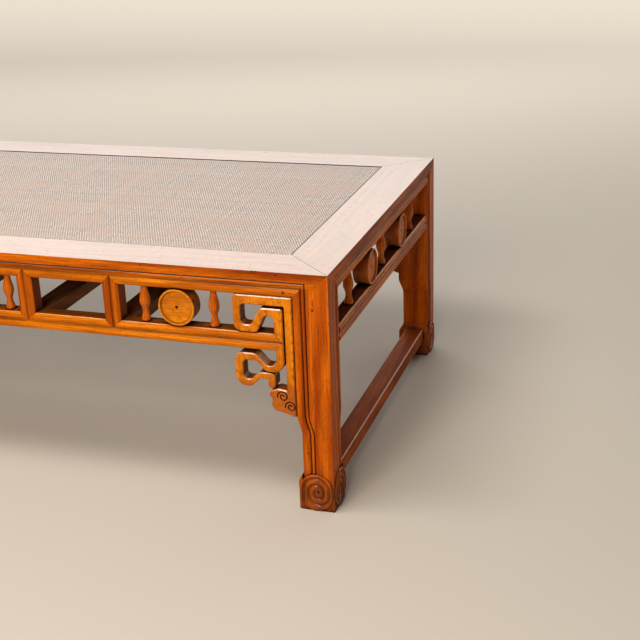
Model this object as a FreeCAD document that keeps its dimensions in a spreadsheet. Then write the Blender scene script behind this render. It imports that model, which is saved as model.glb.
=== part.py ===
"""A low kang table of mitred and tenoned hardwood with a fretwork frieze and a woven mat let into its top.

Millimetres, +Z up, X along the length and Y from front to back. The origin lies on the floor, midway under
the table. Pieces are drawn at the front left corner, where a point is given by its distance in from the left
end, its distance in from the front and its height, and the other three corners are their mirror images.
"""
import FreeCAD, Part
import math
import os
import re
from FreeCAD import Placement, Rotation, Vector

# Driving dimensions
SIZES = {
    # Whole table
    "table_length": 1470.0,
    "table_depth": 850.0,
    "table_height": 480.0,
    # Fits
    "joint_gap": 0.15,
    "end_gap": 0.5,
    "overrun": 2.0,
    # Top frame
    "frame_width": 99.0,
    "fascia_height": 18.0,
    "frame_tenon_inset": 66.0,
    "frame_tenon_width": 24.0,
    "frame_tenon_height": 12.0,
    "frame_tenon_length": 26.0,
    # Mouldings
    "bead_width": 6.5,
    "bead_groove": 1.75,
    "bead_rise": 2.4,
    "bead_setback": 0.4,
    "pillow_width": 17.0,
    "pillow_rise": 4.2,
    "pillow_setback": 0.8,
    "half_round_width": 15.9,
    "half_round_groove": 2.0,
    "half_round_rise": 4.4,
    # Panel and mat
    "mat_thickness": 3.0,
    "mat_recess": 1.0,
    "mat_gap": 0.8,
    "panel_thickness": 12.0,
    "panel_tongue": 6.0,
    "tongue_length": 9.0,
    "board_count": 3.0,
    "board_gap": 0.5,
    "batten_count": 3.0,
    "batten_width": 42.0,
    "batten_height": 20.0,
    "batten_spacing": 420.0,
    "batten_tenon_length": 16.0,
    "batten_tenon_width": 30.0,
    "batten_tenon_height": 8.0,
    "batten_tenon_lift": 2.0,
    "dovetail_height": 4.0,
    "dovetail_spread": 3.0,
    # Legs
    "leg_width": 70.0,
    "leg_flat": 43.0,
    "shank_width": 61.0,
    "step_height": 30.0,
    "step_radius": 40.0,
    "ankle_top": 78.0,
    "ankle_bottom": 63.0,
    "ankle_radius": 13.0,
    "heel_radius": 5.0,
    "leg_tenon_width": 14.0,
    "leg_tenon_height": 16.0,
    "leg_tenon_inset": 30.0,
    "leg_tenon_along": 48.0,
    # Volutes
    "volute_radius": 33.0,
    "volute_step": 5.4,
    "volute_stretch": 12.0,
    "volute_relief": 3.2,
    "volute_round": 1.6,
    "volute_clearance": 1.5,
    "volute_groove": 7.0,
    "volute_groove_depth": 3.0,
    "volute_eye": 4.0,
    # Frieze
    "frieze_depth": 32.0,
    "cell_height": 73.4,
    "apron_ledge": 3.0,
    "shoulder_depth": 9.0,
    "rail_tenon_length": 20.0,
    "rail_tenon_depth": 12.0,
    "rail_tenon_height": 14.0,
    "outer_divider_inset": 434.0,
    "centre_cell_length": 230.0,
    "divider_tenon_width": 16.0,
    "divider_tenon_height": 10.0,
    # Drums and balusters
    "drum_length": 33.0,
    "drum_gap": 0.3,
    "drum_rim": 4.4,
    "drum_recess": 3.6,
    "drum_eye": 6.6,
    "drum_eye_depth": 8.0,
    "drum_stub": 10.0,
    "drum_stub_height": 5.0,
    "end_drum_offset": 3.0,
    "side_drum_offset": 122.0,
    "side_baluster_offset": 243.0,
    "baluster_belly": 20.6,
    "baluster_tenon": 8.0,
    "baluster_tenon_height": 8.0,
    # Spandrels
    "spandrel_depth": 26.0,
    "spandrel_setback": 1.5,
    "spandrel_chamfer": 2.2,
    "bar_width": 16.0,
    "scroll_reach": 116.0,
    "hook_gap": 3.0,
    "leaf_curl_radius": 9.2,
    "leaf_curl_step": 2.9,
    "leaf_groove": 3.0,
    "leaf_groove_depth": 2.4,
    "leaf_clearance": 1.0,
    # Stretchers
    "low_stretcher_width": 42.0,
    "low_stretcher_height": 31.0,
    "low_stretcher_top": 70.0,
    "low_stretcher_inset": 10.0,
    "low_stretcher_round": 4.0,
    "low_tenon_width": 18.0,
    "low_tenon_length": 20.0,
    "cross_stretcher_width": 50.0,
    "cross_stretcher_height": 27.0,
    "cross_stretcher_drop": 6.0,
    "cross_stretcher_round": 2.5,
    "cross_tenon_width": 30.0,
    "cross_tenon_height": 15.0,
    "cross_tenon_length": 16.0,
}

# Heights of the leaf's top and tip, as shares of the height of the lower rail's underside
LEAF_TOP_SHARE = 0.762
LEAF_TIP_SHARE = 0.598
# From a drum to the baluster beside it, as a share of half the clear length of its cell
BALUSTER_SPACING_SHARE = 0.612
CENTRE_SPACING_SHARE = 0.717

# Sizes worked out from the driving ones
DERIVED = {
    "frame_thickness": "fascia_height + 2 * bead_groove + bead_width",
    "shoulder_height": "table_height - frame_thickness",
    "apron_height": "apron_ledge + pillow_width",
    "cell_top": "shoulder_height - apron_height",
    "cell_bottom": "cell_top - cell_height",
    "lower_rail_height": "2 * half_round_width + half_round_groove",
    "lower_rail_bottom": "cell_bottom - lower_rail_height",
    "rail_groove_height": "lower_rail_bottom + lower_rail_height / 2",
    "moulding_edge": "pillow_setback + pillow_rise",
    "frieze_back": "moulding_edge + frieze_depth - pillow_rise",
    "panel_top": "table_height - mat_recess - mat_thickness",
    "panel_bottom": "panel_top - panel_thickness",
    "panel_depth": "table_depth - 2 * frame_width + 2 * tongue_length",
    "board_width": "(panel_depth - (board_count - 1) * board_gap) / board_count",
    "leaf_top": f"lower_rail_bottom * {LEAF_TOP_SHARE}",
    "leaf_tip": f"lower_rail_bottom * {LEAF_TIP_SHARE}",
    "step_top": "leaf_tip - leaf_clearance",
    "step_bottom": "step_top - step_height",
    "strip_edge": "leg_width + bar_width",
    "hook_edge": "strip_edge + hook_gap",
    "rail_tip": "hook_edge + spandrel_chamfer",
    "rail_root": "rail_tip + lower_rail_height / 2",
    "drum_radius": "cell_height / 2 - drum_gap",
    "inner_divider_inset": "(table_length - centre_cell_length) / 2",
    "end_cell_start": "leg_width + scroll_reach",
    "end_cell_finish": "outer_divider_inset - lower_rail_height / 2",
    "corner_drum_inset": "(end_cell_start + end_cell_finish) / 2 - end_drum_offset",
    "baluster_spacing": f"(end_cell_finish - end_cell_start) / 2 * {BALUSTER_SPACING_SHARE}",
    "apron_tenon_low": "cell_top + (apron_height - rail_tenon_height) / 2",
    "lower_tenon_low": "lower_rail_bottom + (lower_rail_height - rail_tenon_height) / 2",
    "strut_height": "(cell_top + cell_bottom) / 2",
    "strut_depth": "(pillow_setback + frieze_back) / 2",
    "low_stretcher_span": "table_depth - 2 * leg_width",
    "cross_stretcher_top": "cell_bottom - cross_stretcher_drop",
    "centre_spacing": f"(centre_cell_length - lower_rail_height) / 2 * {CENTRE_SPACING_SHARE}",
    "volute_height": "volute_radius + volute_stretch / 2",
    "volute_middle": "leg_width - volute_clearance - volute_radius",
}

# Height and width of a turned baluster along its profile, as shares of the cell height and of its belly
BALUSTER_SHARES = (
    (0.0, 0.84), (0.07, 0.88), (0.17, 0.70), (0.29, 0.57), (0.37, 0.68), (0.49, 0.96),
    (0.56, 1.0), (0.69, 0.88), (0.87, 0.62), (1.0, 0.62),
)
# Corners of the upper scroll past the strip, as shares of the reach from the leg and of the cell's height
# down from its top, and rounding as a share of that height
SCROLL_SHARES = (
    (1.0, 0.0, 0.12), (1.0, 1.0, 0.22), (0.605, 1.0, 0.10), (0.472, 0.535, 0.09), (0.315, 0.535, 0.13),
)
LOOP_SHARES = (
    (0.53, 0.325, 0.06), (0.70, 0.80, 0.10), (0.872, 0.80, 0.12), (0.872, 0.255, 0.10),
)
# Corners of the lower scroll, as shares of the reach and of the drop from the rail's groove to the leaf, and
# rounding as a share of that drop: down its right side to its tip, then back up its left side
CURL_SHARES = (
    (0.168, 0.645, 0.25), (0.490, 0.645, 0.13), (0.630, 0.42, 0.14), (0.875, 0.42, 0.09),
    (0.875, 0.825, 0.09), (0.728, 0.825, 0.13), (0.600, 0.66, 0.13), (0.330, 0.66, 0.11),
    (0.330, 0.985, 0.08), (0.460, 0.985, 0.07), (0.460, 0.865, 0.03),
    (0.430, 0.80, 0.02), (0.590, 0.80, 0.07), (0.745, 0.985, 0.13), (1.010, 0.985, 0.22),
    (1.010, 0.265, 0.19), (0.655, 0.265, 0.15), (0.470, 0.51, 0.13), (0.300, 0.51, 0.13),
)
# The rounding of the lower scroll follows its drop, but no more than this share of the reach
CURL_ROUND_SHARE = 0.82
# The leaf at the foot of the spandrel, as shares of the reach and of its height, and rounding as a share
# of the reach
LEAF_SHARES = (
    (0.0, 1.0, 0.0), (0.14, 0.98, 0.0), (0.30, 1.03, 0.07), (0.42, 0.94, 0.05), (0.455, 0.76, 0.025),
    (0.395, 0.60, 0.03), (0.415, 0.36, 0.05), (0.36, 0.17, 0.05), (0.22, 0.115, 0.05), (0.05, 0.0, 0.02),
    (0.0, 0.0, 0.0),
)
# Middles of the two curls cut in the leaf, as shares of the reach and of the leaf's height
LEAF_CURL_SHARES = ((0.225, 0.745), (0.098, 0.375))

doc = FreeCAD.newDocument("KangTable")
sheet = doc.addObject("Spreadsheet::Sheet", "Sizes")
ALIASES = {alias: str(number) for alias, number in SIZES.items()}
ALIASES.update({alias: "=" + rule for alias, rule in DERIVED.items()})
for row, (alias, content) in enumerate(ALIASES.items(), start=1):
    sheet.set(f"A{row}", alias)
    sheet.setAlias(f"B{row}", alias)
    sheet.set(f"B{row}", content)
doc.recompute()
S = {alias: float(sheet.get(alias)) for alias in ALIASES}
PLANES = {
    "XY": (Rotation(), Vector(0, 0, 1)),
    "XZ": (Rotation(Vector(1, 0, 0), 90), Vector(0, 1, 0)),
    "YZ": (Rotation(Vector(1, 1, 1), 120), Vector(1, 0, 0)),
}
nodes = {}


def bind(thing, rules):
    """Ties properties of a feature to rules written with the names of the sheet."""
    for prop, rule in rules.items():
        thing.setExpression(prop, re.sub(r"([a-z_]{3,})", r"Sizes.\1", rule))
    return thing


def size(rule):
    """The number that a rule written with the names of the sheet gives."""
    return float(sheet.evalExpression(rule))


def drawn(points):
    """Lines and arcs round a closed outline of (a, b, bulge) points.

    A bulge bends the side from its point to the next: it is the arc's rise over half its chord, and is
    positive where the arc turns anticlockwise.
    """
    lines = []
    for here, there in zip(points, points[1:] + points[:1]):
        start, end = Vector(here[0], here[1], 0), Vector(there[0], there[1], 0)
        bulge = here[2] if len(here) > 2 else 0
        if bulge:
            chord = end - start
            middle = (start + end) / 2 + Vector(chord.y, -chord.x, 0) * (bulge / 2)
            lines.append(Part.Arc(start, middle, end))
        else:
            lines.append(Part.LineSegment(start, end))
    return lines


def rounded(corners, closed=True):
    """Bulged points of an outline, or an open path, from (a, b, radius) corners."""
    points = []
    for number, (a, b, *rest) in enumerate(corners):
        radius = rest[0] if rest else 0
        at_end = not closed and number in (0, len(corners) - 1)
        if not radius or at_end:
            points.append((a, b))
            continue
        here = Vector(a, b, 0)
        before = Vector(*corners[number - 1][:2], 0) - here
        after = Vector(*corners[(number + 1) % len(corners)][:2], 0) - here
        half = before.getAngle(after) / 2
        reach = radius / math.tan(half)
        way = math.copysign(1, after.cross(before).z)
        first = here + before.normalize() * reach
        last = here + after.normalize() * reach
        points += [(first.x, first.y, way * math.tan((math.pi - 2 * half) / 4)), (last.x, last.y)]
    return points


def sketch(name, plane, points, body=None, closed=True):
    """A sketch of bulged points on a plane through the origin."""
    if body:
        drawing = body.newObject("Sketcher::SketchObject", name)
        origin = [datum for datum in body.Origin.OriginFeatures if datum.Role == plane + "_Plane"][0]
        drawing.AttachmentSupport = (origin, [""])
        drawing.MapMode = "FlatFace"
    else:
        drawing = doc.addObject("Sketcher::SketchObject", name)
        drawing.Placement = Placement(Vector(), PLANES[plane][0])
    lines = drawn(points)
    drawing.addGeometry(lines if closed else lines[:-1])
    return drawing


def prism(name, plane, points, start, length):
    """A closed outline drawn on a plane and drawn out from a start along the plane's axis."""
    solid = doc.addObject("Part::Extrusion", name)
    solid.Base = sketch(name + "_outline", plane, points)
    solid.DirMode = "Custom"
    solid.Dir = PLANES[plane][1]
    solid.Solid = True
    axis = {"XY": "z", "XZ": "y", "YZ": "x"}[plane]
    bind(solid, {"LengthFwd": length, f"Placement.Base.{axis}": start})
    return solid


def box(name, corner, edges):
    """A box from the rules for its low corner and its edges."""
    solid = doc.addObject("Part::Box", name)
    rules = dict(zip(("Length", "Width", "Height"), edges))
    rules.update({f"Placement.Base.{axis}": rule for axis, rule in zip("xyz", corner)})
    return bind(solid, rules)


def pin(name, corner, radius, height):
    """An upright round pin, or the tool for its hole, from the rules for its foot, radius and height."""
    solid = doc.addObject("Part::Cylinder", name)
    rules = {"Radius": radius, "Height": height}
    rules.update({f"Placement.Base.{axis}": rule for axis, rule in zip("xyz", corner)})
    return bind(solid, rules)


def slot(name, corner, edges, mouth, gap="joint_gap"):
    """The tool for a mortise: the tenon's box with a gap round it and spare depth along one axis."""
    low, wide = list(corner), list(edges)
    for axis in range(3):
        spare = "end_gap" if axis == mouth else gap
        low[axis] = f"{low[axis]} - {spare}"
        wide[axis] = f"{wide[axis]} + 2 * {spare}"
    return box(name, low, wide)


def joined(name, pieces):
    """One solid from several that meet."""
    whole = doc.addObject("Part::MultiFuse", name)
    whole.Shapes = pieces
    whole.Refine = True
    return whole


def shared(name, pieces):
    """What several solids have in common."""
    whole = doc.addObject("Part::MultiCommon", name)
    whole.Shapes = pieces
    return whole


def less(name, base, tools):
    """A solid with the tools taken out of it."""
    rest = doc.addObject("Part::Cut", name)
    rest.Base = base
    rest.Tool = tools[0] if len(tools) == 1 else joined(name + "_tools", tools)
    return rest


def turned_over(name, source, normal):
    """The mirror image of a solid in a plane through the origin."""
    image = doc.addObject("Part::Mirroring", name)
    image.Source = source
    image.Normal = normal
    return image


def keep(label, solid):
    """Moves a solid from the corner's frame to the table's, and lists it as a piece of the table."""
    bind(solid, {"Placement.Base.x": "-table_length / 2", "Placement.Base.y": "-table_depth / 2"})
    return listed(label, solid)


def listed(label, solid):
    """Lists a solid as a piece of the table."""
    solid.Label = label
    nodes[label] = solid
    return solid


def moulding_tool(name, path, profile, mode, transition="Transformed"):
    """The wood that a plane takes out of a front face along a path in it."""
    body = doc.addObject("PartDesign::Body", name)
    section = sketch(name + "_profile", "XY", profile, body)
    section.AttachmentOffset = Placement(Vector(0, 0, path[0][1]), Rotation())
    spine = sketch(name + "_spine", "XZ", path, body, closed=False)
    doc.recompute()
    pipe = body.newObject("PartDesign::AdditivePipe", name + "_pipe")
    pipe.Profile = section
    pipe.Spine = (spine, [f"Edge{number + 1}" for number in range(len(spine.Shape.Edges))])
    pipe.Mode = mode
    pipe.Transition = transition
    return body


def arch(rise, chord):
    """The bulge of an arc with this rise over this chord."""
    return 2 * rise / chord


def bead_profile(edge):
    """Outline of what is planed off for a bead between two grooves, from the edge of a flat face."""
    groove, bead = S["bead_groove"], S["bead_width"]
    depth = S["bead_setback"] + S["bead_rise"]
    return [
        (edge, -S["overrun"]),
        (edge, depth),
        (edge + groove, depth, arch(S["bead_rise"], bead)),
        (edge + groove + bead, depth),
        (edge + 2 * groove + bead, depth),
        (edge + 2 * groove + bead, -S["overrun"]),
    ]


def leg_side():
    """Outline of a leg seen from the front, with its stepped shank, rolled ankle and mitred top."""
    wide, thin = S["leg_width"], S["shank_width"]
    return rounded([
        (0, 0),
        (wide, 0, S["heel_radius"]),
        (wide, S["ankle_bottom"], S["ankle_radius"]),
        (thin, S["ankle_top"], S["ankle_radius"]),
        (thin, S["step_bottom"], S["step_radius"]),
        (wide, S["step_top"], S["step_radius"]),
        (wide, S["shoulder_height"]),
        (S["frame_thickness"], S["shoulder_height"]),
        (0, S["table_height"]),
    ])


def volute_side():
    """Outline of the raised disc that a volute is cut in: a round with straight sides between its halves."""
    middle, radius = S["volute_middle"], S["volute_radius"]
    high, low = S["volute_height"] + S["volute_stretch"] / 2, S["volute_height"] - S["volute_stretch"] / 2
    return [
        (middle + radius, low), (middle + radius, high, 1),
        (middle - radius, high), (middle - radius, low, 1),
    ]


def spiral(middle, height, radius, step, stretch, turns, foot):
    """A path up from a foot and round in half turns, each drawn in by one step and stretched upwards."""
    path = [(middle + radius, foot)]
    for turn in range(turns):
        reach = radius - turn * step
        way = 1 if turn % 2 == 0 else -1
        centre = middle if turn % 2 == 0 else middle - step
        level = height + way * stretch / 2 * reach / radius
        path += [(centre + way * reach, level, 1), (centre - way * reach, level)]
    return path


def groove_profile(middle, width, depth, face):
    """Outline of a carved groove with swelling sides, from the depth of the face that it is cut in."""
    half = width / 2
    swell = arch(depth / 6, math.hypot(half, depth))
    return [
        (middle - half, face - S["overrun"]), (middle - half, face, -swell), (middle, face + depth, -swell),
        (middle + half, face), (middle + half, face - S["overrun"]),
    ]


def volute_groove():
    """The tool for the spiral groove of a volute, which leaves a round eye in its middle."""
    width, depth = S["volute_groove"], S["volute_groove_depth"]
    radius = S["volute_radius"] - 2 * S["volute_step"] + width / 2
    turns = int((radius - S["volute_eye"]) / S["volute_step"]) + 1
    path = spiral(S["volute_middle"], S["volute_height"], radius, S["volute_step"], S["volute_stretch"],
                  turns, S["heel_radius"])
    return moulding_tool("volute_groove", path, groove_profile(path[0][0], width, depth, -S["volute_relief"]),
                         "Standard")


def make_leg():
    """The front left leg: its outline seen from the front and from the side, then mouldings and mortises."""
    block = shared("leg_block", [
        prism("leg_front_view", "XZ", leg_side(), "0", "leg_width"),
        prism("leg_side_view", "YZ", leg_side(), "0", "leg_width"),
    ])
    path = rounded([
        (S["leg_width"], S["shoulder_height"] + S["overrun"]),
        (S["leg_width"], S["step_top"], S["step_radius"]),
        (S["shank_width"], S["step_bottom"], S["step_radius"]),
        (S["shank_width"], S["volute_height"] + S["volute_stretch"]),
    ], closed=False)
    edge = S["leg_flat"] + 2 * S["bead_groove"] + S["bead_width"]
    pillow = bead_profile(S["leg_flat"])[:-2] + [
        (edge, S["moulding_edge"], arch(S["pillow_rise"], S["pillow_width"])),
        (edge + S["pillow_width"], S["moulding_edge"]),
        (edge + S["pillow_width"] + S["overrun"], S["moulding_edge"]),
        (edge + S["pillow_width"] + S["overrun"], -S["overrun"]),
    ]
    front_tool = moulding_tool("leg_front_moulding", path, pillow, "Fixed")
    side_tool = turned_over("leg_side_moulding", front_tool, (1, -1, 0))
    mitre = prism("leg_apron_mitre", "XZ", [
        (edge, S["shoulder_height"] + S["overrun"]),
        (edge, S["cell_top"] + S["pillow_width"]),
        (S["leg_width"], S["cell_top"]),
        (S["leg_width"] + S["overrun"], S["cell_top"]),
        (S["leg_width"] + S["overrun"], S["shoulder_height"] + S["overrun"]),
    ], "-overrun", "shoulder_depth + overrun")
    tools = [front_tool, side_tool, mitre, turned_over("leg_side_mitre", mitre, (1, -1, 0))]
    for name, low in (("apron", "apron_tenon_low"), ("lower", "lower_tenon_low")):
        corner, edges = rail_tenon(low)
        mortise = slot(f"leg_{name}_mortise", corner, edges, 0)
        tools += [mortise, turned_over(f"leg_side_{name}_mortise", mortise, (1, -1, 0))]
    corner, edges = low_stretcher_tenon()
    tools.append(slot("foot_mortise", corner, edges, 1))
    cleared = less("leg_cleared", block, tools)
    disc = prism("volute_disc", "XZ", volute_side(), "-volute_relief", "volute_relief")
    relief = eased("volute_front", disc, "volute_round", -S["volute_relief"])
    parts = [cleared, relief, turned_over("volute_side", relief, (1, -1, 0))]
    for number, (corner, edges) in enumerate(leg_tenons()):
        parts.append(box(f"leg_tenon_{number}", corner, edges))
    groove = volute_groove()
    return less("leg", joined("leg_whole", parts), [groove, turned_over("side_groove", groove, (1, -1, 0))])


def leg_tenons():
    """Corners and edges of the two tenons on top of a leg, one up into each rail."""
    along, inset = "leg_tenon_along", "leg_tenon_inset"
    edges = ("leg_tenon_width", "leg_tenon_width", "leg_tenon_height")
    return [((along, inset, "shoulder_height"), edges), ((inset, along, "shoulder_height"), edges)]


def rail_tenon(low):
    """Corner and edges of a frieze rail's tenon in a leg, from the rule for its lowest height."""
    return (
        ("leg_width - rail_tenon_length", "frieze_back / 2 - rail_tenon_depth / 2", low),
        ("rail_tenon_length", "rail_tenon_depth", "rail_tenon_height"),
    )


def low_stretcher_tenon():
    """Corner and edges of a low stretcher's tenon in a foot."""
    inset = "low_stretcher_inset + low_stretcher_width / 2 - low_tenon_width / 2"
    low = "low_stretcher_top - low_stretcher_height / 2 - low_tenon_width / 2"
    return (
        (inset, "leg_width - low_tenon_length", low),
        ("low_tenon_width", "low_tenon_length", "low_tenon_width"),
    )


def mirrored_pair(start, width, span):
    """The starts of a feature of this width at both ends of a span."""
    return (start, f"{span} - ({start}) - {width}")


def make_top_rail(name, span, tenoned):
    """A rail of the top frame along the front edge: mitred in plan and in front view, beaded and grooved."""
    length, wide, thick = S[span], S["frame_width"], S["frame_thickness"]
    high, low = S["table_height"], S["shoulder_height"]
    block = shared(name + "_block", [
        prism(name + "_plan", "XY", [(0, 0), (length, 0), (length - wide, wide), (wide, wide)],
              "shoulder_height", "frame_thickness"),
        prism(name + "_view", "XZ", [(0, high), (length, high), (length - thick, low), (thick, low)],
              "0", "frame_width"),
    ])
    flat = S["leg_flat"]
    corner = high - S["fascia_height"]
    below = low - S["overrun"]
    path = [(flat, below), (flat, corner), (length - flat, corner), (length - flat, below)]
    tools = [moulding_tool(name + "_bead", path, bead_profile(flat), "Standard", "Right corner")]
    tools.append(box(
        name + "_groove",
        ("0", "frame_width - tongue_length - end_gap", "panel_bottom - joint_gap"),
        (span, "tongue_length + end_gap + overrun", "panel_tongue + 2 * joint_gap"),
    ))
    along, inset, width = "leg_tenon_along", "leg_tenon_inset", "leg_tenon_width"
    for number, start in enumerate(mirrored_pair(along, width, span)):
        corner = (start, inset, "shoulder_height")
        tools.append(slot(f"{name}_leg_mortise_{number}", corner, (width, width, "leg_tenon_height"), 2))
    if not tenoned:
        for number, (corner, edges) in enumerate(frame_tenons(span)):
            tools.append(slot(f"{name}_frame_mortise_{number}", corner, edges, 1))
        return less(name, block, tools)
    for number in range(int(S["batten_count"])):
        corner, edges = batten_tenon(number)
        tools.append(slot(f"{name}_batten_mortise_{number}", corner, edges, 1))
    parts = [less(name + "_cut", block, tools)]
    for number, (corner, edges) in enumerate(frame_tenons(span, "frame_tenon_length")):
        parts.append(box(f"{name}_tenon_{number}", corner, edges))
    return joined(name, parts)


def frame_tenons(span, reach=None):
    """Corners and edges of the tenons of the long rails in the short ones, seen along either kind of rail."""
    inset, width, tall = "frame_tenon_inset", "frame_tenon_width", "frame_tenon_height"
    level = "panel_bottom - joint_gap - frame_tenon_height / 2"
    if reach:
        starts = mirrored_pair(f"{inset} - {reach} / 2", f"({reach} + {width})", span)
        return [((start, inset, level), (f"{reach} + {width}", width, tall)) for start in starts]
    front = f"{inset} - frame_tenon_length / 2"
    edges = (width, f"frame_tenon_length + {width}", tall)
    return [((start, front, level), edges) for start in mirrored_pair(inset, width, span)]


def batten_middle(number):
    """Rule for the middle of a batten along the table."""
    return f"table_length / 2 + ({number} - (batten_count - 1) / 2) * batten_spacing"


def batten_tenon(number):
    """Corner and edges of a batten's tenon in the long rail along the front."""
    middle = batten_middle(number)
    front = "frame_width - batten_tenon_length"
    return (
        (f"{middle} - batten_tenon_width / 2", front, "shoulder_height + batten_tenon_lift"),
        ("batten_tenon_width", "batten_tenon_length", "batten_tenon_height"),
    )


def make_mat():
    """The woven mat, a thin sheet that lies on the panel inside the frame, in the table's own frame."""
    length, depth = (f"{span} - 2 * (frame_width + mat_gap)" for span in ("table_length", "table_depth"))
    corner = (f"-({length}) / 2", f"-({depth}) / 2", "panel_top")
    return box("mat", corner, (length, depth, "mat_thickness"))


def dovetail(number, gap):
    """Outline of a batten's dovetail, seen from the front, with a gap round it."""
    middle = size(batten_middle(number))
    foot = S["batten_width"] / 2 - S["dovetail_spread"] + gap
    head = S["batten_width"] / 2 + gap
    low, high = S["panel_bottom"], S["panel_bottom"] + S["dovetail_height"] + gap
    return [(middle - foot, low), (middle + foot, low), (middle + head, high), (middle - head, high)]


def make_board(number):
    """A board of the panel: a tongue round its outer edges and slots for the battens' dovetails."""
    name = f"board_{number}"
    start = f"frame_width - tongue_length + {number} * (board_width + board_gap)"
    inset = "frame_width - tongue_length"
    slab = box(name + "_slab", (inset, start, "panel_bottom"),
               (f"table_length - 2 * ({inset})", "board_width", "panel_tongue"))
    first, last = number == 0, number == int(S["board_count"]) - 1
    low = "frame_width + joint_gap" if first else start
    high = "table_depth - frame_width - joint_gap" if last else f"{start} + board_width"
    face = box(name + "_face", ("frame_width + joint_gap", low, "panel_bottom"),
               ("table_length - 2 * (frame_width + joint_gap)", f"{high} - ({low})", "panel_thickness"))
    slots = [
        prism(f"{name}_slot_{place}", "XZ", dovetail(place, S["joint_gap"]), "0", "table_depth")
        for place in range(int(S["batten_count"]))
    ]
    return less(name, joined(name + "_whole", [slab, face]), slots)


def make_batten(number):
    """A batten under the panel: its dovetail rides in the boards and its tenons in the long rails."""
    name = f"batten_{number}"
    middle = batten_middle(number)
    inset = "frame_width + joint_gap"
    bar = box(name + "_bar", (f"{middle} - batten_width / 2", inset, "panel_bottom - batten_height"),
              ("batten_width", f"table_depth - 2 * ({inset})", "batten_height"))
    key = prism(name + "_key", "XZ", dovetail(number, 0), inset, f"table_depth - 2 * ({inset})")
    corner, edges = batten_tenon(number)
    tenon = box(name + "_tenon", corner, (edges[0], f"table_depth - 2 * ({corner[1]})", edges[2]))
    return joined(name, [bar, key, tenon])


def frieze_section(arches, back_low):
    """Section of a frieze member, depth against height: arched mouldings in front and a flat back.

    Args:
        arches: low and high edge and rise of each moulding, from the bottom up.
        back_low: lowest and highest edge of the member.
    """
    front = [(S["moulding_edge"], back_low[1])]
    for low, high, rise in reversed(arches):
        front += [(S["moulding_edge"], high, arch(rise, high - low)), (S["moulding_edge"], low)]
    front.append((S["moulding_edge"], back_low[0]))
    cleaned = [point for number, point in enumerate(front)
               if number + 1 == len(front) or point[:2] != front[number + 1][:2]]
    return cleaned + [(S["frieze_back"], back_low[0]), (S["frieze_back"], back_low[1])]


def pointed(middle, half, low, high, point):
    """Outline of a divider whose ends come to a point, seen from the front."""
    return [(middle - half, low), (middle, low - point), (middle + half, low),
            (middle + half, high), (middle, high + point), (middle - half, high)]


def divider_insets():
    """Rules for the middles of the dividers of a long side."""
    insets = ["outer_divider_inset", "inner_divider_inset"]
    return insets + [f"table_length - {inset}" for inset in insets[::-1]]


def shoulder_tools(name):
    """Tools for the pointed shoulders and the mortises of the dividers in both rails."""
    tools = []
    half = S["lower_rail_height"] / 2
    for number, inset in enumerate(divider_insets()):
        shape = pointed(size(inset), half, S["cell_bottom"], S["cell_top"], half)
        tools.append(prism(f"{name}_shoulder_{number}", "XZ", shape, "-overrun", "shoulder_depth + overrun"))
        corner, edges = divider_tenon(inset)
        tools.append(slot(f"{name}_mortise_{number}", corner, edges, 2))
    return tools


def divider_tenon(inset):
    """Corner and edges of the tongue that runs up through a divider and makes its two tenons."""
    return (
        (f"{inset} - divider_tenon_width / 2", "frieze_back / 2 - rail_tenon_depth / 2",
         "cell_bottom - divider_tenon_height"),
        ("divider_tenon_width", "rail_tenon_depth", "cell_height + 2 * divider_tenon_height"),
    )


def strut_insets(span):
    """Rules for the middles of the balusters and of the drums along a side, each in order."""
    if span == "table_depth":
        middle = "table_depth / 2"
        balusters = [f"{middle} - side_baluster_offset", middle, f"{middle} + side_baluster_offset"]
        return balusters, [f"{middle} - side_drum_offset", f"{middle} + side_drum_offset"]
    drums = ["corner_drum_inset", "table_length / 2", "table_length - corner_drum_inset"]
    spacings = ["baluster_spacing", "centre_spacing", "baluster_spacing"]
    balusters = [f"{drum} {way} {spacing}" for drum, spacing in zip(drums, spacings) for way in "-+"]
    return balusters, drums


def strut_tools(name, span):
    """Tools for the seats of the balusters and drums in both rails."""
    balusters, drums = strut_insets(span)
    tools = []
    for number, inset in enumerate(balusters):
        tools.append(pin(
            f"{name}_hole_{number}",
            (inset, "strut_depth", "cell_bottom - baluster_tenon_height - end_gap"),
            "baluster_tenon / 2 + joint_gap",
            "cell_height + 2 * (baluster_tenon_height + end_gap)",
        ))
    for number, inset in enumerate(drums):
        corner, edges = drum_stub(inset)
        tools.append(slot(f"{name}_seat_{number}", corner, edges, 2))
    return tools


def drum_stub(inset):
    """Corner and edges of the square stub that holds a drum above and below."""
    return (
        (f"{inset} - drum_stub / 2", "strut_depth - drum_stub / 2", "cell_bottom - drum_stub_height"),
        ("drum_stub", "drum_stub", "cell_height + 2 * drum_stub_height"),
    )


def make_apron(name, span):
    """The rail under the top frame: one pillow moulding, mitred into those of the legs."""
    low, high = S["cell_top"], S["shoulder_height"]
    section = frieze_section([(low, low + S["pillow_width"], S["pillow_rise"])], (low, high))
    bar = prism(name + "_bar", "YZ", section, "0", span)
    edge = S["leg_width"] - S["pillow_width"]
    length = S[span]
    face = prism(name + "_face", "XZ", [
        (S["leg_width"], low), (length - S["leg_width"], low),
        (length - edge, low + S["pillow_width"]), (length - edge, high),
        (edge, high), (edge, low + S["pillow_width"]),
    ], "0", "shoulder_depth")
    back = box(name + "_back", ("leg_width", "shoulder_depth", "cell_top"),
               (f"{span} - 2 * leg_width", "frieze_back - shoulder_depth", "apron_height"))
    body = shared(name + "_body", [bar, joined(name + "_shape", [face, back])])
    tools = strut_tools(name, span)
    if span == "table_length":
        tools += shoulder_tools(name)
    cut = less(name + "_cut", body, tools)
    return joined(name, [cut] + end_tenons(name, span, "apron_tenon_low", "leg_width"))


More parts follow.
